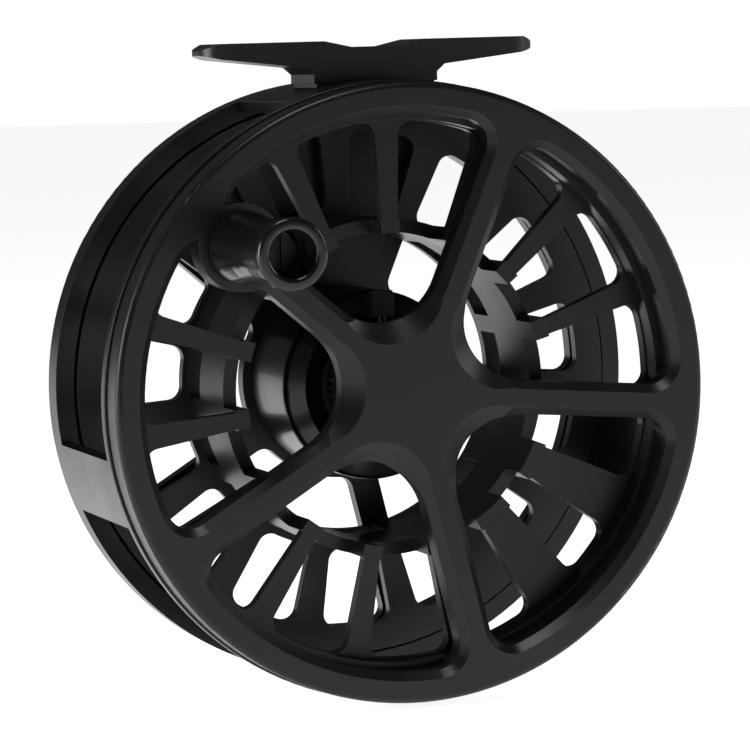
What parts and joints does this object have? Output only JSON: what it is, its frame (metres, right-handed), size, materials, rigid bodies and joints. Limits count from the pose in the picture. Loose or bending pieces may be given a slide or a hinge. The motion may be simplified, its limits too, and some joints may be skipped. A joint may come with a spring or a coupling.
{
  "type": "fly reel",
  "caption": "Large-arbor fly reel with an open spoked spool in a ported cage, a reel foot, a crank handle and a rear drag knob.",
  "frame": {"origin": "centre of the saddle floor on top of the reel foot", "axes": "+Z out of the foot towards the rod, Y along the spool's axle with -Y out of the handle side, X along the foot"},
  "size_m": [0.1088, 0.0843, 0.1158],
  "materials": {
    "frame_anodised": "matte black anodised",
    "spool_anodised": "matte black anodised",
    "knob_anodised": "matte black anodised",
    "housing_gloss": "gloss black",
    "steel": "turned",
    "spring_steel": "drawn",
    "dark_steel": "blackened",
    "seal_rubber": "matte",
    "friction_carbon": "woven",
    "dark_plastic": "moulded",
    "gear_black": "moulded",
    "handle_gloss": "polished black",
    "bush_plastic": "natural"
  },
  "bodies": {
    "frame": {"cage_front_ring": "frame_anodised", "cage_bridge": "frame_anodised", "cage_pillars": "frame_anodised", "cage_rear_ring": "frame_anodised", "back_plate": "frame_anodised", "reel_foot": "frame_anodised", "foot_screws": "steel", "drag_housing": "housing_gloss", "spindle": "steel", "housing_seal": "seal_rubber", "backing_ring": "steel", "brake_discs": "friction_carbon", "pressure_plate": "steel", "drag_spring": "spring_steel", "drag_pusher": "steel", "click_block": "dark_plastic", "spring_cap": "dark_plastic", "click_spring": "spring_steel"},
    "spool": {"spool_face": "spool_anodised", "spool_wall": "spool_anodised", "spool_front_flange": "spool_anodised", "spool_arbor": "spool_anodised", "spool_rear_flange": "spool_anodised", "spool_hub": "spool_anodised", "click_gear": "gear_black", "spool_bearings": "steel", "bearing_spacer": "spool_anodised", "one_way_clutch": "steel", "drag_rotor": "steel", "handle_post": "steel", "handle_screw": "dark_steel"},
    "handle": {"handle_knob": "handle_gloss", "handle_bushings": "bush_plastic"},
    "drag_control": {"drag_knob": "knob_anodised", "knob_stem": "steel", "knob_screw": "dark_steel"},
    "plunger": {"click_plunger": "steel"}
  },
  "joints": [
    {"name": "spool_spin", "type": "hinge", "parent": "frame", "child": "spool", "pos_m": [0, -0.0035, -0.0603], "axis": [0, 1, 0], "continuous": true},
    {"name": "handle_spin", "type": "hinge", "parent": "spool", "child": "handle", "pos_m": [-0.03099, -0.0375, -0.03346], "axis": [0, 1, 0], "continuous": true},
    {"name": "drag_turn", "type": "hinge", "parent": "frame", "child": "drag_control", "pos_m": [0, 0.0265, -0.0603], "axis": [0, 1, 0], "range_deg": [0, 330]},
    {"name": "plunger_lift", "type": "slide", "parent": "frame", "child": "plunger", "axis": [0, 0, 1], "range_m": [0, 0.0007], "stiffness_N_per_m": 300, "deforming": ["click_spring"]}
  ]
}
